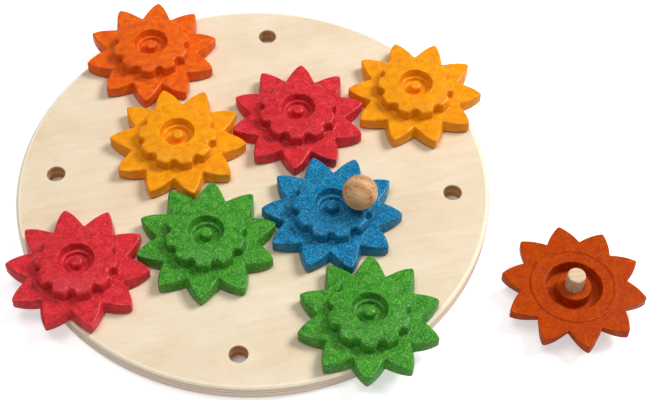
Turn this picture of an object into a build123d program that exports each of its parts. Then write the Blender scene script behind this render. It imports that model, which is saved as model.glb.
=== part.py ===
from build123d import *
import math
import os

# A crank gear toy: a round plywood board with twelve peg holes, eight flower-shaped gears that
# stand on it in mesh, each on a dowel peg, and a ninth gear that lies upside down beside it.
# One gear carries a ball knob and drives the rest.
#
# Frame: millimetres, +Z up, origin at the middle of the board's underside, +X along a row of holes.

# ---- Board ----
hole_spacing = 86.0  # between neighbouring peg holes, along both rows and columns
holes_per_row = 4  # the square grid of holes has no corner holes
board_radius = 161.5
board_thickness = 12.0
board_edge_bevel = 2.4
peg_hole_radius = 6.25

# ---- Petals, the lower tier of every gear and its teeth ----
petal_count = 10
petal_point_radius = 47.6  # where a petal's two flanks would meet if its point were sharp
petal_end_radius = 47.1  # where the point is rounded off
petal_valley_radius = 35.4  # where the flanks of two neighbouring petals meet
petal_flank_bulge = 1.1  # height of a flank's arc over its chord
petal_thickness = 8.1

# ---- Lobes, the upper tier ----
lobe_end_radius = 26.0  # at the gear's top face
lobe_end_width = 8.0
lobe_notch_radius = 22.7
lobe_notch_width = 2.6
lobe_height = 9.5  # from the petals' top face to the gear's top face
lobe_wall_lean = 1.1  # how much further out the tier's wall stands at its foot

# ---- Stepped recess in the gear's top face, and the button in it ----
recess_mouth_radius = 11.7
recess_ledge_radius = 9.9
recess_ledge_depth = 3.4
recess_well_radius = 7.7
recess_floor_radius = 7.1
recess_floor_depth = 6.8
button_radius = 4.3
button_drop = 1.6  # from the gear's top face down to the button's crown
button_crown = 1.5  # height of the button's domed part

# ---- Underside of a gear ----
bead_radius = 27.3  # middle of the raised ring that the gear turns on
bead_width = 2.8
bead_height = 0.8
groove_inner_radius = 10.4
groove_outer_radius = 17.8
groove_depth = 9.0
groove_draft = 0.9  # how much narrower each side of the groove is at its end
boss_hole_depth = 8.0
boss_hole_bevel = 1.0

# ---- Dowel pegs ----
peg_radius = 6.0
peg_length = 20.0
peg_end_bevel = 1.0
peg_flute_count = 16
peg_flute_width = 0.9
peg_flute_depth = 0.4

# ---- Knob of the crank gear ----
knob_ball_radius = 11.8
knob_offset = 18.0  # from the crank gear's axis to the knob's
knob_stem_radius = 4.0
knob_stem_depth = 6.0  # of the stem in the gear
knob_stem_reach = 9.0  # of the stem in the ball

# ---- Clearances ----
peg_running_clearance = 0.08  # on the radius, of a peg in its gear's boss
peg_end_clearance = 0.2  # between a peg's inner end and the bottom of its hole
bead_clearance = 0.3  # under the ring, so that the gear turns freely
knob_clearance = 0.3  # between the ball and the gear's top face
stem_clearance = 0.05  # on the stem's radius and at its two ends

# ---- Where the gears stand: column and row of the hole, counted from the far left ----
gear_cells = {
    "orange": (1, 0),
    "yellow_left": (1, 1),
    "red_centre": (2, 1),
    "yellow_right": (3, 1),
    "red_left": (0, 2),
    "green_centre": (1, 2),
    "crank": (2, 2),
    "green_front": (2, 3),
}

# ---- The spare gear, upside down on the surface that the board lies on ----
spare_x = 179.5
spare_y = -139.4
spare_turn = 9.0  # degrees

# ---- Sizes that follow ----
petal_pitch = 360 / petal_count
gear_height = petal_thickness + lobe_height
gear_base = board_thickness + bead_clearance + bead_height  # height of a mounted gear's underside
boss_hole_radius = peg_radius + peg_running_clearance
peg_rise = boss_hole_depth - peg_end_clearance  # how far a peg stands in its gear
stem_hole_radius = knob_stem_radius + stem_clearance
ball_height = gear_height + knob_clearance + knob_ball_radius  # of its middle, from the underside
knob_angle = -petal_pitch  # on the lobe that points to the right at rest


def polar(radius, angle):
    """Point at a radius and an angle in degrees, on a flat sketch."""
    turn = math.radians(angle)
    return (radius * math.cos(turn), radius * math.sin(turn))


def ring(*corners):
    """Solid of revolution about the Z axis, from the corners (radius, height) of its section."""
    with BuildSketch(Plane.XZ, mode=Mode.PRIVATE) as section:
        with BuildLine():
            Polyline(*corners, close=True)
        make_face()
    return revolve(section.sketch, Axis.Z)


def cell_place(column, row):
    """Where a hole of the grid lies on the board."""
    middle = (holes_per_row - 1) / 2
    return ((column - middle) * hole_spacing, (middle - row) * hole_spacing)


def grid_cells():
    """Columns and rows of the board's holes: a square grid without its four corners."""
    outermost = (0, holes_per_row - 1)
    cells = []
    for row in range(holes_per_row):
        for column in range(holes_per_row):
            at_corner = column in outermost and row in outermost
            if not at_corner:
                cells.append((column, row))
    return cells


# ---- The pieces ----
def make_board():
    """The round plywood board with its peg holes."""
    on_table = (Align.CENTER, Align.CENTER, Align.MIN)
    places = [cell_place(*cell) for cell in grid_cells()]
    with BuildPart() as board:
        Cylinder(board_radius, board_thickness, align=on_table)
        chamfer(board.edges(), board_edge_bevel)
        with Locations(*places):
            Cylinder(peg_hole_radius, board_thickness, align=on_table, mode=Mode.SUBTRACT)
    return board.part


def petal_outline():
    """Flat outline of the petals: each flank is one bulged arc from a valley to a petal's point."""
    with BuildSketch(mode=Mode.PRIVATE) as outline:
        with BuildLine():
            for number in range(petal_count):
                angle = number * petal_pitch
                start = polar(petal_valley_radius, angle - petal_pitch / 2)
                point = polar(petal_point_radius, angle)
                end = polar(petal_valley_radius, angle + petal_pitch / 2)
                SagittaArc(start, point, -petal_flank_bulge)
                SagittaArc(point, end, -petal_flank_bulge)
        make_face()
        Circle(petal_end_radius, mode=Mode.INTERSECT)
    return outline.sketch


def lobe_outline(spread, height):
    """Flat outline of the lobes at a height, wider all round by spread."""
    end_radius = lobe_end_radius + spread
    end_turn = math.degrees(math.asin(lobe_end_width / 2 / end_radius))
    notch_radius = lobe_notch_radius + spread
    notch_turn = petal_pitch / 2 - math.degrees(math.asin(lobe_notch_width / 2 / notch_radius))
    corners = []
    for number in range(petal_count):
        angle = number * petal_pitch
        corners.append(polar(notch_radius, angle - notch_turn))
        corners.append(polar(end_radius, angle - end_turn))
        corners.append(polar(end_radius, angle + end_turn))
        corners.append(polar(notch_radius, angle + notch_turn))
    with BuildSketch(mode=Mode.PRIVATE) as outline:
        with BuildLine():
            Polyline(*corners, close=True)
        make_face()
    return Pos(0, 0, height) * outline.sketch


def make_lobes():
    """The upper tier, whose wall leans in from its foot to the gear's top face."""
    foot = lobe_outline(lobe_wall_lean, petal_thickness)
    top = lobe_outline(0, gear_height)
    return loft([foot, top], ruled=True)


def make_recess():
    """The space of the stepped recess, with the button left out of it."""
    ledge = gear_height - recess_ledge_depth
    floor = gear_height - recess_floor_depth
    crown = gear_height - button_drop
    shoulder = crown - button_crown
    dome_radius = (button_radius**2 + button_crown**2) / 2 / button_crown
    with BuildSketch(Plane.XZ, mode=Mode.PRIVATE) as section:
        with BuildLine():
            Polyline(
                (0, crown),
                (0, gear_height),
                (recess_mouth_radius, gear_height),
                (recess_ledge_radius, ledge),
                (recess_well_radius, ledge),
                (recess_floor_radius, floor),
                (button_radius, floor),
                (button_radius, shoulder),
            )
            RadiusArc((button_radius, shoulder), (0, crown), -dome_radius)
        make_face()
    return revolve(section.sketch, Axis.Z)


def make_bead():
    """The raised ring under a gear, which keeps its petals clear of the board."""
    inner = bead_radius - bead_width / 2
    outer = bead_radius + bead_width / 2
    return ring((inner, 0), (bead_radius, -bead_height), (outer, 0))


def make_groove():
    """The space of the deep round groove that leaves the boss standing."""
    return ring(
        (groove_inner_radius, 0),
        (groove_outer_radius, 0),
        (groove_outer_radius - groove_draft, groove_depth),
        (groove_inner_radius + groove_draft, groove_depth),
    )


def make_boss_hole(bevel):
    """The space of the blind hole for a peg, its mouth widened by the bevel."""
    corners = [(0, 0), (boss_hole_radius + bevel, 0)]
    if bevel > 0:
        corners.append((boss_hole_radius, bevel))
    corners.append((boss_hole_radius, boss_hole_depth))
    corners.append((0, boss_hole_depth))
    return ring(*corners)


def make_gear(underside_shows):
    """One gear, its underside at height 0 and its axis at the origin, a petal along +X.

    The ring, the groove and the bevelled mouth of the hole are left to a gear whose underside
    shows. Under the others it is plain.
    """
    with BuildPart() as gear:
        with BuildSketch():
            add(petal_outline())
        extrude(amount=petal_thickness)
        add(make_lobes())
        add(make_recess(), mode=Mode.SUBTRACT)
        if underside_shows:
            add(make_bead())
            add(make_groove(), mode=Mode.SUBTRACT)
            add(make_boss_hole(boss_hole_bevel), mode=Mode.SUBTRACT)
        else:
            add(make_boss_hole(0), mode=Mode.SUBTRACT)
    return gear.part


def make_peg(shows):
    """One dowel peg, its outer end at height 0. A peg that shows has flutes and a bevelled end."""
    upright = (Align.CENTER, Align.CENTER, Align.MIN)
    with BuildPart() as peg:
        Cylinder(peg_radius, peg_length, align=upright)
        if shows:
            chamfer(peg.edges().group_by(Axis.Z)[0], peg_end_bevel)
            root = (peg_radius - peg_flute_depth, 0)
            left = (peg_radius + peg_flute_depth, peg_flute_width)
            right = (peg_radius + peg_flute_depth, -peg_flute_width)
            with BuildSketch():
                with PolarLocations(0, peg_flute_count):
                    Polygon(root, right, left, align=None)
            extrude(amount=peg_length, mode=Mode.SUBTRACT)
    return peg.part


def knob_place(height):
    """A place on the knob's axis, at a height above the crank gear's underside."""
    x, y = polar(knob_offset, knob_angle)
    return Pos(x, y, height)


def make_crank_gear():
    """The gear that is driven by hand, with the hole that its knob's stem is glued in."""
    depth = knob_stem_depth + stem_clearance
    hole = Cylinder(stem_hole_radius, depth, align=(Align.CENTER, Align.CENTER, Align.MAX))
    return make_gear(False) - knob_place(gear_height) * hole


def make_knob_stem():
    """The short dowel from the crank gear up into the ball."""
    length = knob_stem_depth + knob_clearance + knob_stem_reach
    stem = Cylinder(knob_stem_radius, length, align=(Align.CENTER, Align.CENTER, Align.MIN))
    return knob_place(gear_height - knob_stem_depth) * stem


def make_knob_ball():
    """The ball that the child holds, with the blind hole for its stem."""
    depth = knob_stem_reach + stem_clearance
    hole = Cylinder(stem_hole_radius, depth, align=(Align.CENTER, Align.CENTER, Align.MIN))
    ball = Sphere(knob_ball_radius) - Pos(0, 0, -knob_ball_radius) * hole
    return knob_place(ball_height) * ball


# ---- The places of the gears and their pegs ----
def mounted_place(column, row):
    """A gear's place on the board: every second one is turned by half a petal, to mesh."""
    x, y = cell_place(column, row)
    turn = (column + row + 1) % 2 * petal_pitch / 2
    return Pos(x, y, gear_base) * Rot(0, 0, turn)


def spare_place():
    """The spare gear's place: it lies upside down on its top face."""
    return Pos(spare_x, spare_y, gear_height) * Rot(0, 0, spare_turn) * Rot(180, 0, 0)


def place_parts():
    """Every piece by its name, where it is on the toy at rest."""
    in_gear = Pos(0, 0, peg_rise - peg_length)
    gear = make_gear(False)
    peg = in_gear * make_peg(False)
    pieces = {"board": make_board()}
    for name, cell in gear_cells.items():
        place = mounted_place(*cell)
        pieces[name + "_gear"] = place * gear
        pieces[name + "_peg"] = place * peg
    crank_place = mounted_place(*gear_cells["crank"])
    pieces["crank_gear"] = crank_place * make_crank_gear()
    pieces["knob_stem"] = crank_place * make_knob_stem()
    pieces["knob_ball"] = crank_place * make_knob_ball()
    pieces["spare_gear"] = spare_place() * make_gear(True)
    pieces["spare_peg"] = spare_place() * in_gear * make_peg(True)
    return pieces


os.makedirs("parts", exist_ok=True)
for name, piece in place_parts().items():
    export_step(piece, f"parts/{name}.step")
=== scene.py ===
"""The looks of a wooden crank gear toy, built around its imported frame.

A round plywood board carries eight flower-shaped gears of moulded wood composite on dowel pegs,
one of them with a turned ball knob, and a ninth gear lies upside down beside the board. Each
sub-assembly is a class that holds its sizes in millimetres and builds and dresses its own meshes.
"""

import logging
import math
from dataclasses import dataclass, field
from enum import Enum
from typing import Iterable, Optional, Sequence

import bmesh
import bpy
from mathutils import Color, Matrix, Vector

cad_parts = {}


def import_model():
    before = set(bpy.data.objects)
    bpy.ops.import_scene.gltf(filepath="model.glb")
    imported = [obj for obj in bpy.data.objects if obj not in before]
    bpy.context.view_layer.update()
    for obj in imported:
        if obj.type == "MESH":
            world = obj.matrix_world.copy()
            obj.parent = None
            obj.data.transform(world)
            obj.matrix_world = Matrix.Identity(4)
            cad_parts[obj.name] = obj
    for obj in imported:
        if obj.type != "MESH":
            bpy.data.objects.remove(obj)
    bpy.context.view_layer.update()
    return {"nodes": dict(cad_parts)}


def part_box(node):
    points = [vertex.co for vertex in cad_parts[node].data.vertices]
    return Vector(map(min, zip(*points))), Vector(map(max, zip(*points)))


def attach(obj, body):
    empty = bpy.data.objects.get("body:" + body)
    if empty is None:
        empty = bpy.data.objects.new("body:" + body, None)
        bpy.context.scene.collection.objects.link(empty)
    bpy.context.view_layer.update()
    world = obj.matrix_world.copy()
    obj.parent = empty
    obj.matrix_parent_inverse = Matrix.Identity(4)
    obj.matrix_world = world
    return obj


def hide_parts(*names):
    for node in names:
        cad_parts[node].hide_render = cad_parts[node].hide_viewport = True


LOG = logging.getLogger("crank_gear_toy")
MM = 0.001  # scene units are metres, sizes below are millimetres
FACE_WEIGHT = 90  # how strongly large faces steer the smooth shading
RELIEF_STRENGTH = 0.8
NOISE_RANGE = (0.3, 0.7)  # nearly all of a smooth noise lies in it

Point = tuple[float, float]
Corner = tuple[float, float, float]  # radius, height and rounding radius
Colour = tuple[float, float, float, float]
Socket = bpy.types.NodeSocket
Sockets = dict[str, Socket]
Loop = list[bmesh.types.BMVert]
WHITE: Colour = (1.0, 1.0, 1.0, 1.0)


def paint(red: int, green: int, blue: int) -> Colour:
    """Turn a colour as it looks on a screen into the linear values that shaders use.

    Args:
        red: Red from 0 to 255.
        green: Green from 0 to 255.
        blue: Blue from 0 to 255.

    Returns:
        Linear red, green and blue, and an alpha of 1.
    """
    linear = Color((red / 255, green / 255, blue / 255)).from_srgb_to_scene_linear()
    return (linear.r, linear.g, linear.b, 1.0)


def smooth_step(share: float) -> float:
    """Ease from 0 to 1 as share goes from 0 to 1."""
    share = min(1.0, max(0.0, share))
    return share * share * (3 - 2 * share)


def polar(radius: float, angle: float) -> Vector:
    """Give the flat point at a radius and an angle in radians."""
    return Vector((radius * math.cos(angle), radius * math.sin(angle)))


def quarter_round(radius: float, steps: int) -> list[Point]:
    """Draw a quarter of a circle that rounds the edge between a face and a wall.

    Args:
        radius: The rounding's radius.
        steps: How many straight pieces it is drawn with.

    Returns:
        How far each point lies in from the wall and back from the face, from the face on.
    """
    turns = [math.pi / 2 * step / steps for step in range(steps + 1)]
    return [(radius * (1 - math.sin(turn)), radius * (1 - math.cos(turn))) for turn in turns]


def soft_profile(corners: Sequence[Corner], steps: int = 4) -> list[Point]:
    """Round the corners of a half section.

    Args:
        corners: Radius, height and rounding radius of each corner, in order.
        steps: How many straight pieces each rounding is drawn with.

    Returns:
        The points of the rounded section, in the same order.
    """
    points: list[Point] = []
    last = len(corners) - 1
    for number, (radius, height, rounding) in enumerate(corners):
        here = Vector((radius, height))
        if rounding <= 0 or number in (0, last):
            points.append((radius, height))
            continue
        before = (Vector(corners[number - 1][:2]) - here).normalized()
        after = (Vector(corners[number + 1][:2]) - here).normalized()
        half_turn = before.angle(after) / 2
        reach = rounding / math.tan(half_turn)
        centre = here + (before + after).normalized() * rounding / math.sin(half_turn)
        start = here + before * reach - centre
        end = here + after * reach - centre
        sweep = start.angle(end)
        for step in range(steps + 1):
            share = step / steps
            mixed = start * math.sin((1 - share) * sweep) + end * math.sin(share * sweep)
            spot = centre + mixed / math.sin(sweep)
            points.append((spot.x, spot.y))
    return points


class RingSkin:
    """A skin of quads laid over a row of closed rings that all have as many points."""

    def __init__(self, count: int) -> None:
        """Start an empty skin.

        Args:
            count: How many points each ring has.
        """
        self.count = count
        self.points: list[Vector] = []
        self.faces: list[tuple[int, ...]] = []

    def circle(self, radius: float, height: float) -> list[Vector]:
        """Give a round ring, evenly divided, at a radius and a height."""
        step = math.tau / self.count
        return [polar(radius, step * i).to_3d() + Vector((0, 0, height)) for i in range(self.count)]

    def add(self, ring: Iterable[Vector]) -> None:
        """Add a ring and join it to the one before.

        Args:
            ring: The ring's points, in millimetres.
        """
        start = len(self.points)
        self.points.extend(ring)
        if start >= self.count:
            for i in range(self.count):
                after = (i + 1) % self.count
                lower = start - self.count
                self.faces.append((lower + i, lower + after, start + after, start + i))

    def close(self, start_height: float, end_height: float) -> None:
        """Close the first and the last ring, each with a point on the axis.

        Args:
            start_height: Height of the point that closes the first ring.
            end_height: Height of the point that closes the last ring.
        """
        last = len(self.points) - self.count
        first_pole = len(self.points)
        self.points.append(Vector((0, 0, start_height)))
        self.points.append(Vector((0, 0, end_height)))
        for i in range(self.count):
            after = (i + 1) % self.count
            self.faces.append((first_pole, after, i))
            self.faces.append((first_pole + 1, last + i, last + after))

    def to_object(self, name: str, place: Matrix) -> bpy.types.Object:
        """Make the object, smooth shaded, its points moved to their place.

        Args:
            name: The object's name.
            place: Where the skin goes, in millimetres.

        Returns:
            The object, which sits at the origin itself.
        """
        mesh = bpy.data.meshes.new(name)
        mesh.from_pydata([(place @ p) * MM for p in self.points], [], self.faces)
        return finish_mesh(name, mesh)


def finish_mesh(name: str, mesh: bpy.types.Mesh) -> bpy.types.Object:
    """Shade a mesh smoothly, flat faces kept flat, and link it to the scene as an object.

    Args:
        name: The object's name.
        mesh: The mesh, in metres.

    Returns:
        The new object.
    """
    work = bmesh.new()
    work.from_mesh(mesh)
    bmesh.ops.recalc_face_normals(work, faces=work.faces)
    for face in work.faces:
        face.smooth = True
    work.to_mesh(mesh)
    work.free()
    piece = bpy.data.objects.new(name, mesh)
    bpy.context.scene.collection.objects.link(piece)
    weighted = piece.modifiers.new("even_normals", "WEIGHTED_NORMAL")
    weighted.weight = FACE_WEIGHT
    return piece


# ---------------------------------------------------------------- shader groups


class Sheet:
    """A short way to lay out the nodes of one material or node group."""

    def __init__(self, tree: bpy.types.NodeTree) -> None:
        """Take the node tree to work on."""
        self.tree = tree

    def node(
        self, kind: str, feeds: Optional[dict[object, object]] = None, **settings: object
    ) -> bpy.types.Node:
        """Add a node.

        Args:
            kind: The node's type.
            feeds: A socket or value for each input, by its name or number.
            settings: The node's properties by name.

        Returns:
            The node.
        """
        made = self.tree.nodes.new(kind)
        for name, value in settings.items():
            setattr(made, name, value)
        for label, source in (feeds or {}).items():
            self.feed(made.inputs[label], source)
        return made

    def feed(self, socket: Socket, source: object) -> None:
        """Link a socket to a source, or set it to a plain value.

        Args:
            socket: The input.
            source: A socket or a value.
        """
        if isinstance(source, Socket):
            self.tree.links.new(source, socket)
        else:
            socket.default_value = source

    def math(self, operation: str, *values: object, clamp: bool = False) -> Socket:
        """Add a Math node.

        Args:
            operation: The node's operation.
            values: Its inputs, each a number or a socket.
            clamp: Whether the result is kept between 0 and 1.

        Returns:
            The result's socket.
        """
        feeds = dict(enumerate(values))
        return self.node("ShaderNodeMath", feeds, operation=operation, use_clamp=clamp).outputs[0]

    def place(self) -> Socket:
        """Give the place on the surface, in the object's own metres."""
        return self.node("ShaderNodeTexCoord").outputs["Object"]

    def times(self, first: object, second: object) -> Socket:
        """Multiply two numbers or sockets."""
        return self.math("MULTIPLY", first, second)

    def remap(
        self,
        value: object,
        low: object,
        high: object,
        to_low: object = 0.0,
        to_high: object = 1.0,
        smooth: bool = True,
    ) -> Socket:
        """Carry a value from one range to another.

        Args:
            value: The value, a number or a socket.
            low: Where the first range starts.
            high: Where the first range ends.
            to_low: What the start becomes.
            to_high: What the end becomes.
            smooth: Whether the change eases in and out.

        Returns:
            The result's socket.
        """
        kind = "SMOOTHSTEP" if smooth else "LINEAR"
        feeds = dict(enumerate((value, low, high, to_low, to_high)))
        return self.node("ShaderNodeMapRange", feeds, interpolation_type=kind).outputs[0]

    def mix(self, share: object, first: object, second: object) -> Socket:
        """Mix two colours.

        Args:
            share: How much of the second colour is in it, 0 to 1.
            first: The first colour.
            second: The second colour.

        Returns:
            The mixed colour's socket.
        """
        made = self.node("ShaderNodeMix", {"Factor": share}, data_type="RGBA")
        first_input, second_input = (i for i in made.inputs if i.type == "RGBA")
        self.feed(first_input, first)
        self.feed(second_input, second)
        return next(o for o in made.outputs if o.type == "RGBA")

    def scaled(self, vector: object, scale: Sequence[float]) -> Socket:
        """Stretch a vector along its axes.

        Args:
            vector: The vector's socket.
            scale: The factor for each axis.

        Returns:
            The stretched vector's socket.
        """
        feeds = {0: vector, 1: tuple(scale)}
        return self.node("ShaderNodeVectorMath", feeds, operation="MULTIPLY").outputs[0]

    def noise(
        self, vector: object, scale: object, detail: float = 3.0, roughness: float = 0.5
    ) -> Socket:
        """Add smooth noise.

        Args:
            vector: The place on the surface.
            scale: How many waves there are to a metre.
            detail: How many finer layers are added.
            roughness: How strong the finer layers are.

        Returns:
            The noise's socket, about 0 to 1.
        """
        feeds = {"Vector": vector, "Scale": scale, "Detail": detail, "Roughness": roughness}
        return self.node("ShaderNodeTexNoise", feeds).outputs["Fac"]


class SocketKind(Enum):
    """The kinds of socket that the shader groups have."""

    NUMBER = "NodeSocketFloat"
    VECTOR = "NodeSocketVector"


def numbers(*labels: str) -> dict[str, SocketKind]:
    """List number sockets that have these labels."""
    return {label: SocketKind.NUMBER for label in labels}


class ShaderGroup:
    """A shader node group with named inputs and outputs, built once and used by many finishes."""

    name = "group"
    inputs: dict[str, SocketKind] = {}
    outputs: dict[str, SocketKind] = {}

    def __init__(self) -> None:
        """Build the group's sockets and nodes."""
        self.tree = bpy.data.node_groups.new(self.name, "ShaderNodeTree")
        for label, kind in self.inputs.items():
            self.tree.interface.new_socket(label, in_out="INPUT", socket_type=kind.value)
        for label, kind in self.outputs.items():
            self.tree.interface.new_socket(label, in_out="OUTPUT", socket_type=kind.value)
        sheet = Sheet(self.tree)
        entry = sheet.node("NodeGroupInput").outputs
        end = sheet.node("NodeGroupOutput").inputs
        for label, socket in self.wire(sheet, entry).items():
            sheet.feed(end[label], socket)

    def wire(self, sheet: Sheet, entry: object) -> Sockets:
        """Lay out the group's nodes.

        Args:
            sheet: The sheet to lay the nodes on.
            entry: The group's inputs, by name.

        Returns:
            The socket that feeds each output.
        """
        raise NotImplementedError

    def use(self, sheet: Sheet, **values: object) -> Sockets:
        """Place the group in a material.

        Args:
            sheet: The material's sheet.
            values: A value or socket for each input, its name written with underscores.

        Returns:
            The outputs by name.
        """
        made = sheet.node("ShaderNodeGroup", node_tree=self.tree)
        for label, value in values.items():
            sheet.feed(made.inputs[label.replace("_", " ")], value)
        return {socket.name: socket for socket in made.outputs}


class Flecks(ShaderGroup):
    """Small light fibres and grains that lie scattered in the moulded composite."""

    name = "flecks"
    inputs = {"Vector": SocketKind.VECTOR, **numbers("Scale", "Coverage", "Size")}
    outputs = numbers("Mask")
    smallest, largest = 0.5, 1.2  # a dot's size against the input
    core_share = 0.45  # of a dot's radius, as strong as its middle
    faintest = 0.35

    def wire(self, sheet: Sheet, entry: object) -> Sockets:
        """Keep a share of the cells of a cell texture, each as a soft dot of its own size.

        Args:
            sheet: The sheet to lay the nodes on.
            entry: The group's inputs, by name.

        Returns:
            The socket that feeds each output.
        """
        feeds = {label: entry[label] for label in ("Vector", "Scale")}
        cells = sheet.node("ShaderNodeTexVoronoi", feeds, feature="F1")
        parts = sheet.node("ShaderNodeSeparateColor", {0: cells.outputs["Color"]})
        kept = sheet.math("LESS_THAN", parts.outputs[0], entry["Coverage"])
        size = sheet.remap(parts.outputs[1], 0, 1, self.smallest, self.largest)
        reach = sheet.times(entry["Size"], size)
        inner = sheet.times(reach, self.core_share)
        dot = sheet.remap(cells.outputs["Distance"], inner, reach, 1.0, 0.0)
        strength = sheet.remap(parts.outputs[2], 0, 1, self.faintest, 1.0)
        return {"Mask": sheet.times(sheet.times(dot, kept), strength)}


class Mottle(ShaderGroup):
    """Cloudy variation at two sizes, from 0 to 1 about a middle of one half."""

    name = "mottle"
    inputs = {"Vector": SocketKind.VECTOR, **numbers("Scale", "Fine Scale", "Contrast")}
    outputs = numbers("Value")

    def wire(self, sheet: Sheet, entry: object) -> Sockets:
        """Add a coarse and a fine noise and spread them about the middle.

        Args:
            sheet: The sheet to lay the nodes on.
            entry: The group's inputs, by name.

        Returns:
            The socket that feeds each output.
        """
        coarse = sheet.noise(entry["Vector"], entry["Scale"])
        fine = sheet.noise(entry["Vector"], entry["Fine Scale"], detail=4.0, roughness=0.6)
        both = sheet.math("MULTIPLY_ADD", sheet.math("ADD", coarse, fine), 0.5, -0.5)
        return {"Value": sheet.math("MULTIPLY_ADD", both, entry["Contrast"], 0.5, clamp=True)}


class EdgeWearAndHighlight(ShaderGroup):
    """Convex edges made lighter and smoother: partly wear from handling, partly a painted
    highlight.
    """

    name = "edge_wear_and_highlight"
    inputs = {"Vector": SocketKind.VECTOR, **numbers("Start", "End", "Scale")}
    outputs = numbers("Mask")
    # the weakest the edge lightening gets, part wear and part painted highlight
    least_wear_and_highlight = 0.45

    def wire(self, sheet: Sheet, entry: object) -> Sockets:
        """Take the surface's convexity and break it up with noise.

        Args:
            sheet: The sheet to lay the nodes on.
            entry: The group's inputs, by name.

        Returns:
            The socket that feeds each output.
        """
        shape = sheet.node("ShaderNodeNewGeometry")
        edge = sheet.remap(shape.outputs["Pointiness"], entry["Start"], entry["End"])
        patchy = sheet.noise(entry["Vector"], entry["Scale"])
        patches = sheet.remap(patchy, *NOISE_RANGE, self.least_wear_and_highlight, 1.0)
        return {"Mask": sheet.times(edge, patches)}


class WoodGrain(ShaderGroup):
    """Year rings and fibres that run along X, waved a little."""

    name = "wood_grain"
    inputs = {
        "Vector": SocketKind.VECTOR,
        **numbers("Ring Scale", "Fibre Scale", "Wave", "Pore Level"),
    }
    outputs = numbers("Rings", "Fibres", "Pores")
    sway_scale = (5.0, 11.0, 11.0)  # waves to a metre along and across the grain
    fibre_stretch = (0.06, 1.0, 1.0)
    pore_stretch = (0.14, 1.0, 1.0)
    pore_fineness = 1.9  # against the fibres
    pore_softness = 0.11

    def wire(self, sheet: Sheet, entry: object) -> Sockets:
        """Bend the surface's place by slow noise, then draw bands, fibres and pores along X.

        Args:
            sheet: The sheet to lay the nodes on.
            entry: The group's inputs, by name.

        Returns:
            The socket that feeds each output.
        """
        waves = sheet.scaled(entry["Vector"], self.sway_scale)
        slow = sheet.node("ShaderNodeTexNoise", {"Vector": waves, "Scale": 1.0, "Detail": 2.0})
        feeds = {0: slow.outputs["Color"], "Scale": entry["Wave"]}
        sway = sheet.node("ShaderNodeVectorMath", feeds, operation="SCALE")
        feeds = {0: entry["Vector"], 1: sway.outputs[0]}
        bent = sheet.node("ShaderNodeVectorMath", feeds, operation="ADD")
        feeds = {
            "Vector": bent.outputs[0],
            "Scale": entry["Ring Scale"],
            "Distortion": 4.0,
            "Detail": 2.0,
            "Detail Scale": 0.6,
        }
        bands = sheet.node("ShaderNodeTexWave", feeds, wave_type="BANDS", bands_direction="Y")
        fine = sheet.scaled(bent.outputs[0], self.fibre_stretch)
        fibres = sheet.noise(fine, entry["Fibre Scale"], detail=5.0, roughness=0.62)
        pore_place = sheet.scaled(bent.outputs[0], self.pore_stretch)
        pore_scale = sheet.times(entry["Fibre Scale"], self.pore_fineness)
        pores = sheet.noise(pore_place, pore_scale, detail=2.0)
        full = sheet.math("ADD", entry["Pore Level"], self.pore_softness)
        return {
            "Rings": bands.outputs["Fac"],
            "Fibres": fibres,
            "Pores": sheet.remap(pores, entry["Pore Level"], full),
        }


@dataclass
class ShaderGroups:
    """The shader groups that the finishes share, each built once."""

    flecks: Flecks = field(default_factory=Flecks)
    mottle: Mottle = field(default_factory=Mottle)
    edge_wear_and_highlight: EdgeWearAndHighlight = field(default_factory=EdgeWearAndHighlight)
    wood_grain: WoodGrain = field(default_factory=WoodGrain)


# ---------------------------------------------------------------- finishes


def start_material(name: str) -> tuple[bpy.types.Material, Sheet, bpy.types.Node]:
    """Make an empty material.

    Args:
        name: The material's name.

    Returns:
        The material, its sheet and its Principled shader.
    """
    material = bpy.data.materials.new(name)
    material.use_nodes = True
    sheet = Sheet(material.node_tree)
    return material, sheet, material.node_tree.nodes["Principled BSDF"]


def add_bump(sheet: Sheet, shader: bpy.types.Node, height: object, depth: float) -> None:
    """Give a shader relief.

    Args:
        sheet: The material's sheet.
        shader: Its Principled shader.
        height: The relief, 0 to 1.
        depth: How deep the relief is, in millimetres.
    """
    feeds = {"Strength": RELIEF_STRENGTH, "Distance": depth * MM, "Height": height}
    sheet.feed(shader.inputs["Normal"], sheet.node("ShaderNodeBump", feeds).outputs[0])


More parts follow.
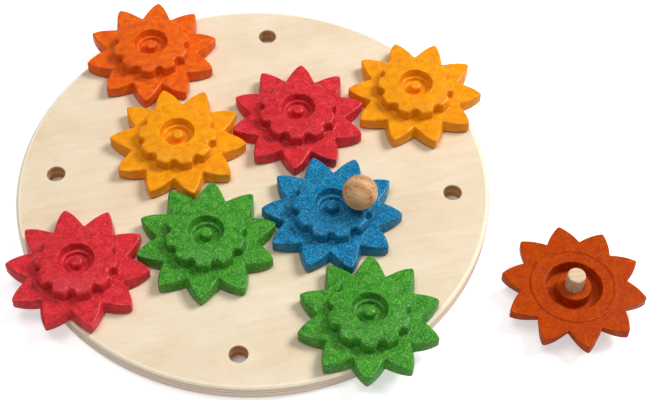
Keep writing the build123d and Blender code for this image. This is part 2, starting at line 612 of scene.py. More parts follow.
@dataclass(frozen=True)
class CompositeFinish:
    """Wood composite, dyed through and moulded: satin, cloudy and flecked with light fibres."""

    name: str
    slot: str
    body: Colour
    deep: Colour
    fleck: Colour
    # the colour of convex edges, lighter partly from wear and partly as a painted highlight
    wear_and_highlight: Colour
    fleck_coverage: float = 0.5
    fleck_strength: float = 0.22
    roughness: float = 0.27
    specular: float = 0.2
    large_share: float = 0.5  # of the small flecks' coverage
    gloss_swing: tuple[float, float] = (0.06, -0.05)
    rub_gloss: float = 0.06
    wear_and_highlight_share: float = 0.26
    grain_scale: float = 900.0
    fleck_rise: float = 0.35
    relief: float = 0.05

    def material(self, groups: ShaderGroups) -> bpy.types.Material:
        """Build the material.

        Args:
            groups: The shared shader groups.

        Returns:
            The new material.
        """
        material, sheet, shader = start_material(self.name)
        spot = sheet.place()
        cloud = groups.mottle.use(sheet, Vector=spot, Scale=200, Fine_Scale=1150, Contrast=5.0)
        share = self.fleck_coverage
        small = groups.flecks.use(sheet, Vector=spot, Scale=1250, Coverage=share, Size=0.72)
        share *= self.large_share
        large = groups.flecks.use(sheet, Vector=spot, Scale=560, Coverage=share, Size=0.42)
        # convex-edge mask, partly wear and partly a painted highlight; it lightens the colour and
        # smooths the roughness
        worn_and_highlit = groups.edge_wear_and_highlight.use(sheet, Vector=spot, Start=0.53, End=0.62, Scale=90)
        both = sheet.math("MAXIMUM", small["Mask"], large["Mask"])
        shade = sheet.mix(cloud["Value"], self.deep, self.body)
        flecked = sheet.mix(sheet.times(both, self.fleck_strength), shade, self.fleck)
        # painted highlight along the convex edges, mixed with lighter wear
        wear_and_highlight = sheet.mix(sheet.times(worn_and_highlit["Mask"], self.wear_and_highlight_share), flecked, self.wear_and_highlight)
        sheet.feed(shader.inputs["Base Color"], wear_and_highlight)
        dullest, glossiest = (self.roughness + swing for swing in self.gloss_swing)
        dull = sheet.remap(cloud["Value"], 0, 1, dullest, glossiest)
        polished = sheet.math("MULTIPLY_ADD", worn_and_highlit["Mask"], -self.rub_gloss, dull)
        sheet.feed(shader.inputs["Roughness"], polished)
        grainy = sheet.noise(spot, self.grain_scale, detail=3.0, roughness=0.6)
        height = sheet.math("MULTIPLY_ADD", both, self.fleck_rise, grainy)
        add_bump(sheet, shader, height, self.relief)
        shader.inputs["Specular IOR Level"].default_value = self.specular
        return material


@dataclass(frozen=True)
class WoodFinish:
    """Bare or clear-sealed wood with grain along X."""

    name: str
    slot: str
    light: Colour
    dark: Colour
    pore: Colour
    ring_scale: float
    fibre_scale: float
    wave: float
    ring_share: float = 0.35
    pore_share: float = 0.5
    pore_level: float = 0.63
    fibre_share: float = 0.4
    shade_range: tuple[float, float] = (0.2, 1.3)
    gloss_swing: tuple[float, float] = (-0.06, 0.08)
    roughness: float = 0.5
    specular: float = 0.4
    relief: float = 0.04
    turn: tuple[float, float, float] = (0.0, 0.0, 0.0)

    def material(self, groups: ShaderGroups) -> bpy.types.Material:
        """Build the material.

        Args:
            groups: The shared shader groups.

        Returns:
            The new material.
        """
        material, sheet, shader = start_material(self.name)
        spot = sheet.place()
        turned = sheet.node("ShaderNodeMapping", {"Vector": spot, "Rotation": self.turn})
        grain = groups.wood_grain.use(
            sheet,
            Vector=turned.outputs[0],
            Ring_Scale=self.ring_scale,
            Fibre_Scale=self.fibre_scale,
            Wave=self.wave,
            Pore_Level=self.pore_level,
        )
        cloud = groups.mottle.use(sheet, Vector=spot, Scale=14, Fine_Scale=60, Contrast=1.6)
        rings = sheet.times(grain["Rings"], self.ring_share)
        fibres = sheet.remap(grain["Fibres"], *NOISE_RANGE, 0.0, self.fibre_share, smooth=False)
        shade = sheet.math("ADD", sheet.math("ADD", rings, fibres), cloud["Value"])
        depth = sheet.remap(shade, *self.shade_range, smooth=False)
        base = sheet.mix(depth, self.light, self.dark)
        pores = sheet.times(grain["Pores"], self.pore_share)
        sheet.feed(shader.inputs["Base Color"], sheet.mix(pores, base, self.pore))
        glossiest, dullest = (self.roughness + swing for swing in self.gloss_swing)
        dull = sheet.remap(grain["Fibres"], 0.2, 0.8, glossiest, dullest)
        sheet.feed(shader.inputs["Roughness"], dull)
        relief = sheet.math("MULTIPLY_ADD", pores, -1.0, grain["Fibres"])
        add_bump(sheet, shader, relief, self.relief)
        shader.inputs["Specular IOR Level"].default_value = self.specular
        return material


@dataclass(frozen=True)
class LaminateFinish:
    """The board's edge: thin wood layers between dark glue lines, stacked along Z."""

    name: str
    layers: tuple[tuple[float, float, Colour], ...]  # lower border, its glue line's strength, shade
    glue: Colour
    roughness: float = 0.55
    streak_share: float = 0.28
    streak_stretch: tuple[float, float, float] = (1.0, 1.0, 9.0)
    streak_scale: float = 160.0
    dirt_range: tuple[float, float] = (0.5, 0.95)
    waver_scale: float = 45.0
    waver: float = 0.3  # how far the layers' borders wander, in millimetres
    border_blur: float = 0.12
    line_reach: float = 0.42
    line_depth: float = 0.8
    relief: float = 0.06

    def material(self, groups: ShaderGroups) -> bpy.types.Material:
        """Build the material.

        Args:
            groups: The shared shader groups.

        Returns:
            The new material.
        """
        material, sheet, shader = start_material(self.name)
        spot = sheet.place()
        parts = sheet.node("ShaderNodeSeparateXYZ", {0: spot})
        slow = sheet.noise(spot, self.waver_scale, detail=2.0)
        wander = sheet.math("MULTIPLY_ADD", slow, self.waver * MM, -self.waver / 2 * MM)
        height = sheet.math("ADD", parts.outputs["Z"], wander)
        colour: object = self.layers[0][2]
        lines: Optional[Socket] = None
        for border, strength, shade in self.layers[1:]:
            low, high = (border - self.border_blur) * MM, (border + self.border_blur) * MM
            colour = sheet.mix(sheet.remap(height, low, high), colour, shade)
            away = sheet.math("ABSOLUTE", sheet.math("SUBTRACT", height, border * MM))
            line = sheet.remap(away, self.border_blur * MM, self.line_reach * MM, strength, 0.0)
            lines = line if lines is None else sheet.math("MAXIMUM", lines, line)
        flat = sheet.scaled(spot, self.streak_stretch)
        streaks = sheet.noise(flat, self.streak_scale, detail=4.0, roughness=0.6)
        cloud = groups.mottle.use(sheet, Vector=spot, Scale=30, Fine_Scale=260, Contrast=2.0)
        dirt = sheet.times(lines, sheet.remap(cloud["Value"], 0.1, 0.9, *self.dirt_range))
        shade = sheet.mix(dirt, colour, self.glue)
        darker = sheet.remap(streaks, 0.3, 0.75, 0.0, self.streak_share, smooth=False)
        sheet.feed(shader.inputs["Base Color"], sheet.mix(darker, shade, self.glue))
        dull = sheet.remap(streaks, 0, 1, self.roughness - 0.05, self.roughness + 0.1)
        sheet.feed(shader.inputs["Roughness"], dull)
        relief = sheet.math("MULTIPLY_ADD", dirt, -self.line_depth, streaks)
        add_bump(sheet, shader, relief, self.relief)
        return material


# ---------------------------------------------------------------- gears


@dataclass(frozen=True)
class GearForm:
    """The moulding that all the gears share. Heights count from the petals' underside."""

    petal_count: int = 10
    point_radius: float = 47.6
    valley_radius: float = 35.4
    flank_bulge: float = 1.1  # how far a flank stands out from its chord
    point_round: float = 1.7
    valley_round: float = 0.9
    petal_thickness: float = 8.1
    top_round: float = 1.25
    valley_softness: float = 1.3  # the top edge's rounding there, against the point's
    valley_lean: float = 2.5  # how far the wall leans in there
    bottom_round: float = 0.6
    lobe_end_radius: float = 26.9
    lobe_notch_radius: float = 23.4
    lobe_end_angle: float = 7.5
    lobe_notch_angle: float = 15.5
    wall_lean: float = 0.6  # of the lobes' wall
    foot_round: float = 1.2
    lobe_round: float = 1.9
    crown: float = 1.7  # how much lower the top face is at the lobes' ends
    crown_start: float = 13.2
    crown_power: float = 1.3
    crown_radii: tuple[float, ...] = (17.0, 15.4, 14.2)
    foot_reach: float = 3.0  # how far the wall's first and last rings lie from it
    rim_reach: float = 4.8
    gear_height: float = 17.6
    dome_rise: float = 1.4
    bottom_margin: float = 0.4  # strips that keep the faces beside the roundings flat
    top_margin: float = 0.2
    margin_share: float = 0.1  # of the way from the petals to the round rings
    point_steps: int = 5
    flank_steps: int = 7
    valley_steps: int = 4
    round_steps: int = 4
    wall_steps: int = 6
    dome_steps: int = 6
    underside_corners: tuple[Corner, ...] = (
        (0.4, 8.0, 0),  # the peg's hole: its end, wall and widened mouth
        (6.08, 8.0, 0.2),
        (6.08, 1.0, 0.2),
        (7.1, 0, 0.3),
        (11.2, 0, 0.8),  # the boss, then the groove round it
        (12.0, 9.0, 0.7),
        (17.6, 9.0, 0.7),
        (18.5, 0, 0.9),
        (25.6, 0, 0.7),  # the ring that runs on the board
        (26.6, -0.8, 0.7),
        (28.1, -0.8, 0.7),
        (29.1, 0, 0.7),
        (29.9, 0, 0),
    )
    recess_corners: tuple[Corner, ...] = (  # with depths under the top face for heights
        (13.2, 0, 0),  # the rim
        (11.9, 0, 0.6),
        (10.3, 5.1, 0.35),  # the step
        (8.7, 5.3, 0.35),
        (8.0, 7.9, 0.6),  # the floor
        (4.3, 7.9, 0.5),
        (4.1, 3.0, 0),  # the button's wall
    )

    def half_petal(self) -> list[tuple[Vector, Vector, float]]:
        """Trace one flank from the petal's point to the bottom of the valley beside it.

        Returns:
            Points of the flat outline, each with its outward normal and with how near the valley
            it is, 0 at the petal's point and 1 in the valley.
        """
        pitch = math.tau / self.petal_count
        point = Vector((self.point_radius, 0))
        valley_way = polar(1, pitch / 2)
        valley = valley_way * self.valley_radius
        chord = valley - point
        bend = (chord.length**2 / 4 + self.flank_bulge**2) / (2 * self.flank_bulge)
        outward = Vector((-chord.y, chord.x)).normalized()
        if outward.dot(point + valley) < 0:
            outward = -outward
        flank = (point + valley) / 2 - outward * (bend - self.flank_bulge)
        tip = Vector((flank.x + math.sqrt((bend - self.point_round) ** 2 - flank.y**2), 0))
        along = valley_way.dot(flank)
        reach = (bend + self.valley_round) ** 2 - flank.length_squared
        notch = valley_way * (along + math.sqrt(along**2 + reach))
        tip_end = math.atan2(tip.y - flank.y, tip.x - flank.x)
        notch_end = math.atan2(notch.y - flank.y, notch.x - flank.x)
        notch_turn = math.pi + notch_end
        trace: list[tuple[Vector, Vector, float]] = []
        for step in range(self.point_steps):
            way = polar(1, tip_end * step / self.point_steps)
            trace.append((tip + way * self.point_round, way, 0.0))
        for step in range(self.flank_steps):
            share = step / self.flank_steps
            way = polar(1, tip_end + (notch_end - tip_end) * share)
            trace.append((flank + way * bend, way, smooth_step(share)))
        valley_turn = math.pi + pitch / 2
        for step in range(self.valley_steps):
            share = step / self.valley_steps
            way = polar(1, notch_turn + (valley_turn - notch_turn) * share)
            trace.append((notch + way * self.valley_round, -way, 1.0))
        bottom = valley_way * (notch.length - self.valley_round)
        trace.append((bottom, valley_way, 1.0))
        return trace

    def petal_trace(self) -> list[tuple[Vector, Vector, float]]:
        """Trace the whole outline: half a petal, mirrored, then turned for each next petal.

        Returns:
            Points, normals and nearness to the valley, as half_petal gives them.
        """
        half = self.half_petal()
        mirrored = [(Vector((p.x, -p.y)), Vector((n.x, -n.y)), s) for p, n, s in half[1:-1]]
        one = list(reversed(mirrored)) + half
        trace = []
        for number in range(self.petal_count):
            turn = Matrix.Rotation(number * math.tau / self.petal_count, 2)
            trace.extend((turn @ p, turn @ n, s) for p, n, s in one)
        return trace

    def count(self) -> int:
        """Give how many points a ring of the gear has."""
        return 2 * self.petal_count * (self.point_steps + self.flank_steps + self.valley_steps)

    def petal_ring(self, inset: float, height: float) -> list[Vector]:
        """Give the petals' outline, drawn in by inset, at a height."""
        up = Vector((0, 0, height))
        return [(p - n * inset).to_3d() + up for p, n, _ in self.petal_trace()]

    def soft_petal_ring(self, inset: float, drop: float) -> list[Vector]:
        """Give a ring of the petals' top edge, which leans in and softens towards the valleys.

        Args:
            inset: How far it is drawn in at a petal's point.
            drop: How far it lies under the petals' top face at a petal's point.

        Returns:
            The points of the ring.
        """
        ring = []
        for point, normal, depth in self.petal_trace():
            softness = 1 + (self.valley_softness - 1) * depth
            spot = point - normal * inset * softness
            spot -= spot.normalized() * self.valley_lean * depth
            ring.append(Vector((spot.x, spot.y, self.petal_thickness - drop * softness)))
        return ring

    def crown_drop(self, radius: float) -> float:
        """Give how far the crowned top face has sunk at a radius."""
        span = self.lobe_end_radius - self.crown_start
        return self.crown * max(0.0, (radius - self.crown_start) / span) ** self.crown_power

    def lobe_ring(self, spread: float, height: float) -> list[Vector]:
        """Give the lobes' outline.

        Args:
            spread: How much wider it is all round.
            height: Its height, before the crown lowers it.

        Returns:
            The points of the ring.
        """
        tier = self.gear_height - self.petal_thickness
        start = self.petal_trace()[0][0]
        first = math.atan2(start.y, start.x)
        count = self.count()
        pitch = 360 / self.petal_count
        ring = []
        for number in range(count):
            angle = first + math.tau * number / count
            off = abs((math.degrees(angle) + pitch / 2) % pitch - pitch / 2)
            gap = self.lobe_notch_angle - self.lobe_end_angle
            share = smooth_step((self.lobe_notch_angle - off) / gap)
            rise = self.lobe_end_radius - self.lobe_notch_radius
            radius = self.lobe_notch_radius + rise * share + spread
            squeeze = 1 - self.crown_drop(radius) / tier
            spot = polar(radius, angle)
            level = self.petal_thickness + (height - self.petal_thickness) * squeeze
            ring.append(Vector((spot.x, spot.y, level)))
        return ring

    def round_ring(self, radius: float, height: float) -> list[Vector]:
        """Give a round ring whose points lie at the same angles as the lobes' points."""
        ring = self.lobe_ring(0, 0)
        return [Vector((p.x, p.y, 0)).normalized() * radius + Vector((0, 0, height)) for p in ring]

    def underside(self) -> list[Point]:
        """Give the half section of the underside, from the peg hole's end to past the ring."""
        return soft_profile(self.underside_corners)

    def recess(self) -> list[Point]:
        """Give the half section of the stepped recess and its button, from the rim inwards.

        Returns:
            Its points, down to the last one beside the button's middle.
        """
        top = self.gear_height
        section = soft_profile([(r, top - depth, soft) for r, depth, soft in self.recess_corners])
        radius, foot = section[-1]
        for step in range(1, self.dome_steps):
            turn = math.pi / 2 * step / self.dome_steps
            section.append((radius * math.cos(turn), foot + self.dome_rise * math.sin(turn)))
        return section

    def skin(self) -> RingSkin:
        """Lay the gear's whole surface, from the peg hole round the petals to the button.

        Returns:
            The closed skin, its axis on the gear's.
        """
        skin = RingSkin(self.count())
        underside = self.underside()
        for radius, height in underside:
            skin.add(self.round_ring(radius, height))
        outline = self.petal_ring(self.bottom_round + self.bottom_margin, 0)
        inner = self.round_ring(underside[-1][0], 0)
        skin.add(edge.lerp(middle, self.margin_share) for edge, middle in zip(outline, inner))
        skin.add(outline)
        for inset, rise in quarter_round(self.bottom_round, self.round_steps):
            skin.add(self.petal_ring(inset, rise))
        for drop, inset in quarter_round(self.top_round, self.round_steps):
            skin.add(self.soft_petal_ring(inset, drop))
        skin.add(self.soft_petal_ring(self.top_round + self.top_margin, 0))
        for spread, height in self.lobe_wall():
            skin.add(self.lobe_ring(spread, height))
        for radius in self.crown_radii:
            skin.add(self.round_ring(radius, self.gear_height - self.crown_drop(radius)))
        for radius, height in self.recess():
            skin.add(self.round_ring(radius, height))
        button_depth = self.recess_corners[-1][1]
        skin.close(underside[0][1], self.gear_height - button_depth + self.dome_rise)
        return skin

    def lobe_wall(self) -> list[Point]:
        """Draw the lobes' wall, from its foot to its rim.

        Returns:
            The spread and the height of each ring.
        """
        return soft_profile(
            [
                (self.wall_lean + self.foot_reach, self.petal_thickness, 0),
                (self.wall_lean, self.petal_thickness, self.foot_round),
                (0, self.gear_height, self.lobe_round),
                (-self.rim_reach, self.gear_height, 0),
            ],
            steps=self.wall_steps,
        )


@dataclass
class FlowerGear:
    """One gear: its moulding, the dowel peg in it, and where both go."""

    name: str
    finish: CompositeFinish
    turn: float
    upside_down: bool = False
    form: GearForm = field(default_factory=GearForm)

    def place(self) -> Matrix:
        """Find where the gear goes, from its CAD node's box.

        Returns:
            The place in millimetres.
        """
        low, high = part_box(f"{self.name}_gear")
        x, y = (low.x + high.x) / 2 / MM, (low.y + high.y) / 2 / MM
        turned = Matrix.Rotation(math.radians(self.turn), 4, "Z")
        if self.upside_down:
            flipped = Matrix.Rotation(math.pi, 4, "X")
            return Matrix.Translation((x, y, low.z / MM + self.form.gear_height)) @ turned @ flipped
        return Matrix.Translation((x, y, low.z / MM)) @ turned

    def build(self, skin: RingSkin, peg: "DowelPeg", groups: ShaderGroups) -> None:
        """Make the gear and its peg.

        Args:
            skin: The moulding's surface, shared by all the gears.
            peg: The peg's form.
            groups: The shared shader groups.
        """
        place = self.place()
        gear = skin.to_object(f"{self.name}_gear_moulding", place)
        gear.data.materials.append(self.finish.material(groups))
        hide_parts(f"{self.name}_gear")
        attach(gear, f"{self.name}_gear")
        peg.build(self.name, place)
        LOG.info("%s gear: %d faces", self.name, len(gear.data.polygons))


@dataclass
class DowelPeg:
    """The fluted dowel that a gear turns on, its inner end in the gear's boss."""

    material: bpy.types.Material
    radius: float = 6.0
    length: float = 20.0
    rise: float = 7.8
    end_round: float = 1.0
    flutes: int = 16
    flute_depth: float = 0.45
    flute_share: float = 0.3
    points_per_flute: int = 10
    round_steps: int = 4
    end_ring_share: float = 0.55

    def ring(self, inset: float, height: float, depth_share: float) -> list[Vector]:
        """Give the fluted outline.

        Args:
            inset: How far it is drawn in all round.
            height: Its height above the gear's underside.
            depth_share: How deep the flutes are there, 0 to 1.

        Returns:
            The points of the ring.
        """
        count = self.flutes * self.points_per_flute
        ring = []
        for number in range(count):
            angle = math.tau * number / count
            off = abs((number / self.points_per_flute + 0.5) % 1 - 0.5)
            cut = self.flute_depth * depth_share * max(0.0, 1 - off / self.flute_share)
            spot = polar(self.radius - inset - cut, angle)
            ring.append(spot.to_3d() + Vector((0, 0, height)))
        return ring

    def build(self, name: str, place: Matrix) -> None:
        """Make one gear's peg.

        Args:
            name: The gear's name.
            place: Where the gear is, in millimetres.
        """
        skin = RingSkin(self.flutes * self.points_per_flute)
        low = self.rise - self.length
        end_inset = self.radius * self.end_ring_share
        rounding = list(enumerate(quarter_round(self.end_round, self.round_steps)))
        skin.add(self.ring(end_inset, low, 0))
        for step, (inset, rise) in rounding:
            skin.add(self.ring(inset, low + rise, step / self.round_steps))
        for quarter in (1, 2, 3):
            skin.add(self.ring(0, low + self.length * quarter / 4, 1))
        for step, (drop, inset) in rounding:
            skin.add(self.ring(inset, self.rise - drop, 1 - step / self.round_steps))
        skin.add(self.ring(end_inset, self.rise, 0))
        skin.close(low, self.rise)
        peg = skin.to_object(f"{name}_peg_dowel", place)
        peg.data.materials.append(self.material)
        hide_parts(f"{name}_peg")
        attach(peg, f"{name}_peg")


@dataclass
class Knob:
    """The turned ball that the child holds, and the stem under it."""

    ball_finish: WoodFinish
    stem_material: bpy.types.Material
    hole_radius: float = 4.05
    hole_depth: float = 9.0
    mouth_land: float = 0.2  # the lowest point of the hole's wall over its mouth
    mouth_step: float = 0.01  # radians from the mouth to the first ring of the ball
    points: int = 96
    steps: int = 44

    def build(self, nodes: dict[str, bpy.types.Object], groups: ShaderGroups) -> None:
        """Make the ball and dress the stem.

        Args:
            nodes: The CAD nodes by name.
            groups: The shared shader groups.
        """
        low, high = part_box("knob_ball")
        radius = (high.x - low.x) / 2 / MM
        x, y = (low.x + high.x) / 2 / MM, (low.y + high.y) / 2 / MM
        centre = Vector((x, y, high.z / MM - radius))
        mouth = math.asin(self.hole_radius / radius)
        skin = RingSkin(self.points)
        floor = -math.sqrt(radius**2 - self.hole_radius**2)
        for height in (self.hole_depth, self.mouth_land):
            skin.add(skin.circle(self.hole_radius, floor + height))
        start = mouth + self.mouth_step
        for step in range(1, self.steps):
            turn = start + (math.pi - start) * step / self.steps
            skin.add(skin.circle(radius * math.sin(turn), -radius * math.cos(turn)))
        skin.close(floor + self.hole_depth, radius)
        ball = skin.to_object("knob_ball_turned", Matrix.Translation(centre))
        ball.data.materials.append(self.ball_finish.material(groups))
        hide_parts("knob_ball")
        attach(ball, "crank_gear")
        stem = nodes["knob_stem"]
        stem.data.materials.clear()
        stem.data.materials.append(self.stem_material)
        LOG.info("knob: %d faces", len(ball.data.polygons))


# ---------------------------------------------------------------- board


class BoardFace(Enum):
    """Which of the board's materials a face has."""

    VENEER = 0
    LAYERS = 1
    HOLE = 2


@dataclass
class PegBoard:
    """The round plywood board: flat veneers, a rounded layered edge and twelve bored holes."""

    veneer: WoodFinish
    layers: LaminateFinish
    # the holes' walls, whose deeper brown than the edge is painted shade
    bored: LaminateFinish
    edge_round: float = 3.0
    hole_spacing: float = 86.0
    holes_per_row: int = 4
    hole_radius: float = 6.25
    hole_round: float = 0.6
    edge_points: int = 256
    hole_points: int = 48
    edge_steps: int = 6
    hole_steps: int = 3
    mouth_strips: int = 2  # strips of a hole's mouth that still show the veneer

    def hole_centres(self) -> list[Vector]:
        """Set out the holes: a square grid without its four corners.

        Returns:
            The middle of each hole, row by row.
        """
        middle = (self.holes_per_row - 1) / 2
        centres = []
        for row in range(self.holes_per_row):
            for column in range(self.holes_per_row):
                if abs(row - middle) + abs(column - middle) < 2 * middle:
                    spot = Vector((column - middle, middle - row)) * self.hole_spacing
                    centres.append(spot)
        return centres

    def loop(
        self, work: bmesh.types.BMesh, centre: Vector, radius: float, height: float, count: int
    ) -> Loop:
        """Add one closed round loop of points.

        Args:
            work: The mesh that is being built.
            centre: The loop's middle.
            radius: Its radius.
            height: Its height.
            count: How many points it has.

        Returns:
            The points in order.
        """
        points = []
        for number in range(count):
            spot = centre + polar(radius, math.tau * number / count)
            points.append(work.verts.new((spot.x * MM, spot.y * MM, height * MM)))
        return points

    def strip(
        self,
        work: bmesh.types.BMesh,
        loops: Sequence[Loop],
        kinds: Sequence[BoardFace],
    ) -> None:
        """Join loops with quads, each strip with its own material.

        Args:
            work: The mesh that is being built.
            loops: The loops in order.
            kinds: The material of the strip before each loop but the first.
        """
        for lower, upper, kind in zip(loops, loops[1:], kinds):
            for number in range(len(lower)):
                after = (number + 1) % len(lower)
                corners = (lower[number], lower[after], upper[after], upper[number])
                work.faces.new(corners).material_index = kind.value

    def rounding(self, radius: float, outward: bool, thickness: float) -> list[Point]:
        """Give the radius and height of each loop down a wall that is rounded at both ends.

        Args:
            radius: The wall's radius.
            outward: Whether the wall faces away from its axis.
            thickness: The board's thickness.

        Returns:
            Radius and height from the top face down to the bottom face.
        """
        if outward:
            sign, rounding = 1, quarter_round(self.edge_round, self.edge_steps)
        else:
            sign, rounding = -1, quarter_round(self.hole_round, self.hole_steps)
        half = [(radius - sign * inset, thickness - drop) for inset, drop in rounding]
        return half + [(r, thickness - z) for r, z in reversed(half)]

    def build(self, groups: ShaderGroups) -> None:
        """Make the board.

        Args:
            groups: The shared shader groups.
        """
        low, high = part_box("board")
        radius = (high.x - low.x) / 2 / MM
        thickness = (high.z - low.z) / MM
        work = bmesh.new()
        edges: dict[str, list[bmesh.types.BMEdge]] = {"top": [], "bottom": []}
        walls = [(Vector((0, 0)), radius, True, self.edge_points)]
        walls += [(c, self.hole_radius, False, self.hole_points) for c in self.hole_centres()]
        for centre, size, outward, count in walls:
            section = self.rounding(size, outward, thickness)
            loops = [self.loop(work, centre, r, z, count) for r, z in section]
            kinds = [BoardFace.LAYERS if outward else BoardFace.HOLE] * (len(loops) - 1)
            if not outward:
                kinds[: self.mouth_strips] = [BoardFace.VENEER] * self.mouth_strips
            self.strip(work, loops, kinds)
            for side, ends in (("top", loops[0]), ("bottom", loops[-1])):
                pairs = zip(ends, ends[1:] + ends[:1])
                edges[side].extend(work.edges.get(pair) for pair in pairs)
        for side in ("top", "bottom"):
            made = bmesh.ops.triangle_fill(work, use_beauty=True, edges=edges[side])
            for item in made["geom"]:
                if isinstance(item, bmesh.types.BMFace):
                    item.material_index = BoardFace.VENEER.value
        mesh = bpy.data.meshes.new("board_plywood")
        work.to_mesh(mesh)
        work.free()
        board = finish_mesh("board_plywood", mesh)
        for finish in (self.veneer, self.layers, self.bored):
            board.data.materials.append(finish.material(groups))
        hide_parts("board")
        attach(board, "board")
        LOG.info("board: %d faces", len(board.data.polygons))


# ---------------------------------------------------------------- studio


@dataclass(frozen=True)
class SoftBox:
    """One square studio lamp that looks at the toy."""

    name: str
    place: tuple[float, float, float]
    side: float
    power: float
    tint: tuple[float, float, float] = (1.0, 1.0, 1.0)

    def build(self) -> None:
        """Hang the lamp and turn it to the toy."""
        data = bpy.data.lights.new(self.name, "AREA")
        data.shape = "SQUARE"
        data.size = self.side
        data.energy = self.power
        data.color = self.tint
        lamp = bpy.data.objects.new(self.name, data)
        lamp.location = self.place
        way = -Vector(self.place)
        lamp.rotation_euler = way.to_track_quat("-Z", "Y").to_euler()
        bpy.context.scene.collection.objects.link(lamp)


@dataclass
class Studio:
    """The pale floor, the soft light and the camera."""

    camera_place: tuple[float, float, float] = (-0.14284, -0.62346, 0.85261)
    camera_turn: tuple[float, float, float] = (0.6392, -0.0185, -0.2770)
    lens: float = 85.36
    floor_side: float = 12.0
    floor_colour: Colour = (0.9, 0.9, 0.9, 1.0)
    floor_glow: float = 0.5  # near the toy, and it grows to 1 far away
    glow_reach: tuple[float, float] = (0.7, 2.5)
    covered: float = 0.155  # the radius of the floor under the board, which doesn't glow
    covered_blur: float = 0.01
    sky_strength: float = 0.28
    lamps: tuple[SoftBox, ...] = (
        SoftBox("key_lamp", (1.9, 0.3, 2.2), 1.1, 63.5, (1.0, 0.985, 0.965)),
        SoftBox("top_lamp", (-0.5, 0.25, 2.8), 1.3, 24.0),
    )

    def build(self) -> None:
        """Set up the whole studio."""
        self.floor()
        self.sky()
        for lamp in self.lamps:
            lamp.build()
        self.camera()
        bpy.context.scene.view_settings.view_transform = "Standard"

    def floor(self) -> None:
        """Lay the floor that the toy lies on."""
        mesh = bpy.data.meshes.new("floor")
        reach = self.floor_side / 2
        corners = [(-reach, -reach, 0), (reach, -reach, 0), (reach, reach, 0), (-reach, reach, 0)]
        mesh.from_pydata(corners, [], [(0, 1, 2, 3)])
        floor = bpy.data.objects.new("floor", mesh)
        bpy.context.scene.collection.objects.link(floor)
        material, sheet, shader = start_material("pale_floor")
        shader.inputs["Base Color"].default_value = self.floor_colour
        shader.inputs["Roughness"].default_value = 0.9
        shader.inputs["Specular IOR Level"].default_value = 0.1
        shader.inputs["Emission Color"].default_value = WHITE
        seen = sheet.node("ShaderNodeLightPath").outputs["Is Camera Ray"]
        away = sheet.node("ShaderNodeVectorMath", {0: sheet.place()}, operation="LENGTH")
        distance = away.outputs["Value"]
        bare = sheet.remap(distance, self.covered - self.covered_blur, self.covered)
        level = sheet.remap(distance, *self.glow_reach, self.floor_glow, 1.0)
        glow = sheet.times(sheet.times(seen, bare), level)
        sheet.feed(shader.inputs["Emission Strength"], glow)
        mesh.materials.append(material)

    def sky(self) -> None:
        """Light everything evenly from all round, and show white where the floor ends."""
        world = bpy.data.worlds.new("studio_air")
        world.use_nodes = True
        bpy.context.scene.world = world
        sheet = Sheet(world.node_tree)
        back = world.node_tree.nodes["Background"]
        rays = sheet.node("ShaderNodeLightPath").outputs
        back.inputs["Color"].default_value = WHITE
        strength = sheet.remap(rays["Is Camera Ray"], 0, 1, self.sky_strength, 1.0, smooth=False)
        sheet.feed(back.inputs["Strength"], strength)

    def camera(self) -> None:
        """Place the camera where the photograph was taken from."""
        data = bpy.data.cameras.new("camera")
        data.lens = self.lens
        data.clip_start = 0.01
        data.clip_end = 50
        camera = bpy.data.objects.new("camera", data)
        camera.location = self.camera_place
        camera.rotation_euler = self.camera_turn
        bpy.context.scene.collection.objects.link(camera)
        bpy.context.scene.camera = camera


# ---------------------------------------------------------------- the toy

ORANGE = CompositeFinish(
    "orange_composite",
    "composite_orange",
    body=paint(239, 106, 12),
    deep=paint(210, 74, 2),
    fleck=paint(252, 160, 90),
    wear_and_highlight=paint(255, 160, 96),
)
YELLOW = CompositeFinish(
    "yellow_composite",
    "composite_yellow",
    body=paint(248, 163, 6),
    deep=paint(228, 132, 0),
    fleck=paint(255, 205, 92),
    wear_and_highlight=paint(255, 206, 110),
)
RED = CompositeFinish(
    "red_composite",
    "composite_red",
    body=paint(222, 50, 58),
    deep=paint(184, 24, 38),
    fleck=paint(248, 124, 118),
    wear_and_highlight=paint(248, 126, 120),
    fleck_strength=0.3,
)
GREEN = CompositeFinish(
    "green_composite",
    "composite_green",
    body=paint(68, 154, 38),
    deep=paint(30, 114, 18),
    fleck=paint(150, 206, 112),
    wear_and_highlight=paint(150, 206, 104),
    fleck_coverage=0.72,
    fleck_strength=0.5,
)
BLUE = CompositeFinish(
    "blue_composite",
    "composite_blue",
    body=paint(0, 122, 174),
    deep=paint(0, 86, 130),
    fleck=paint(112, 206, 228),
    wear_and_highlight=paint(120, 196, 224),
    fleck_coverage=0.72,
    fleck_strength=0.42,
)
RUST = CompositeFinish(
    "rust_composite",
    "composite_rust",
    body=paint(188, 70, 2),
    deep=paint(164, 48, 0),
    fleck=paint(222, 122, 36),
    wear_and_highlight=paint(226, 130, 76),
    fleck_strength=0.3,
    specular=0.1,
)
VENEER = WoodFinish(
    "birch_veneer",
    "plywood",
    light=paint(245, 231, 206),
    dark=paint(224, 201, 168),
    pore=paint(196, 164, 126),
    ring_scale=5.0,
    fibre_scale=240.0,
    wave=0.05,
    ring_share=0.26,
    pore_share=0.22,
)
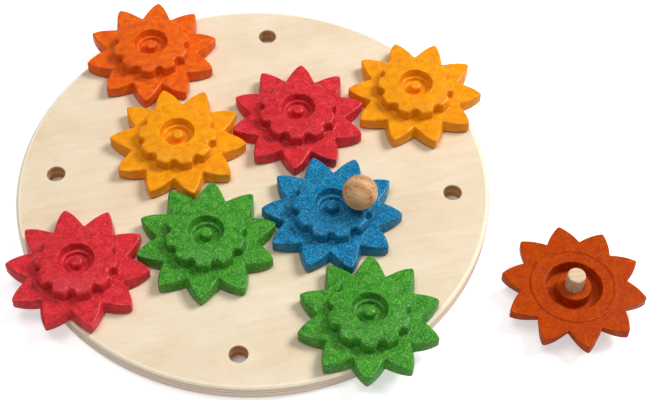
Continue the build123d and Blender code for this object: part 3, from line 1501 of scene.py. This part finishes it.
# The hole walls: the plywood's own layers and glue lines, in a deeper brown than the board's edge
# as painted shade in the holes.
BORED_SHADED = LaminateFinish(
    "bored_wood_shaded",
    layers=(
        (0.0, 0.0, paint(200, 150, 98)),
        (3.9, 0.5, paint(222, 178, 124)),
        (7.5, 0.8, paint(210, 160, 106)),
        (9.9, 0.9, paint(234, 196, 146)),
    ),
    glue=paint(112, 70, 38),
)
DOWEL = WoodFinish(
    "dowel_wood",
    "dowel_wood",
    light=paint(240, 220, 190),
    dark=paint(212, 180, 140),
    pore=paint(172, 134, 96),
    ring_scale=90.0,
    fibre_scale=900.0,
    wave=0.004,
    roughness=0.65,
    turn=(0.0, math.pi / 2, 0.0),
)
BALL = WoodFinish(
    "ball_wood",
    "knob_wood",
    light=paint(246, 212, 166),
    dark=paint(190, 136, 82),
    pore=paint(136, 80, 40),
    ring_share=0.42,
    pore_share=0.8,
    pore_level=0.57,
    ring_scale=36.0,
    fibre_scale=340.0,
    wave=0.014,
    roughness=0.42,
    turn=(0.0, -0.37, 0.67),
)
PLIES = LaminateFinish(
    "plywood_edge",
    layers=(
        (0.0, 0.0, paint(242, 220, 200)),
        (3.9, 0.25, paint(248, 226, 204)),
        (7.5, 1.0, paint(252, 230, 204)),
        (9.9, 0.85, paint(252, 238, 212)),
    ),
    glue=paint(140, 94, 66),
    streak_share=0.12,
)
GEARS = (
    FlowerGear("orange", ORANGE, 0.0),
    FlowerGear("yellow_left", YELLOW, 18.0),
    FlowerGear("red_centre", RED, 0.0),
    FlowerGear("yellow_right", YELLOW, 18.0),
    FlowerGear("red_left", RED, 18.0),
    FlowerGear("green_centre", GREEN, 0.0),
    FlowerGear("crank", BLUE, 18.0),
    FlowerGear("green_front", GREEN, 0.0),
    FlowerGear("spare", RUST, 9.0, upside_down=True),
)


def main() -> None:
    """Load the frame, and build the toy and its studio."""
    logging.basicConfig(level=logging.INFO, format="%(name)s: %(message)s")
    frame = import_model()
    groups = ShaderGroups()
    PegBoard(VENEER, PLIES, BORED_SHADED).build(groups)
    dowel = DOWEL.material(groups)
    skin = GearForm().skin()
    peg = DowelPeg(dowel)
    for gear in GEARS:
        gear.build(skin, peg, groups)
    Knob(BALL, dowel).build(frame["nodes"], groups)
    Studio().build()


if __name__ == "__main__":
    main()
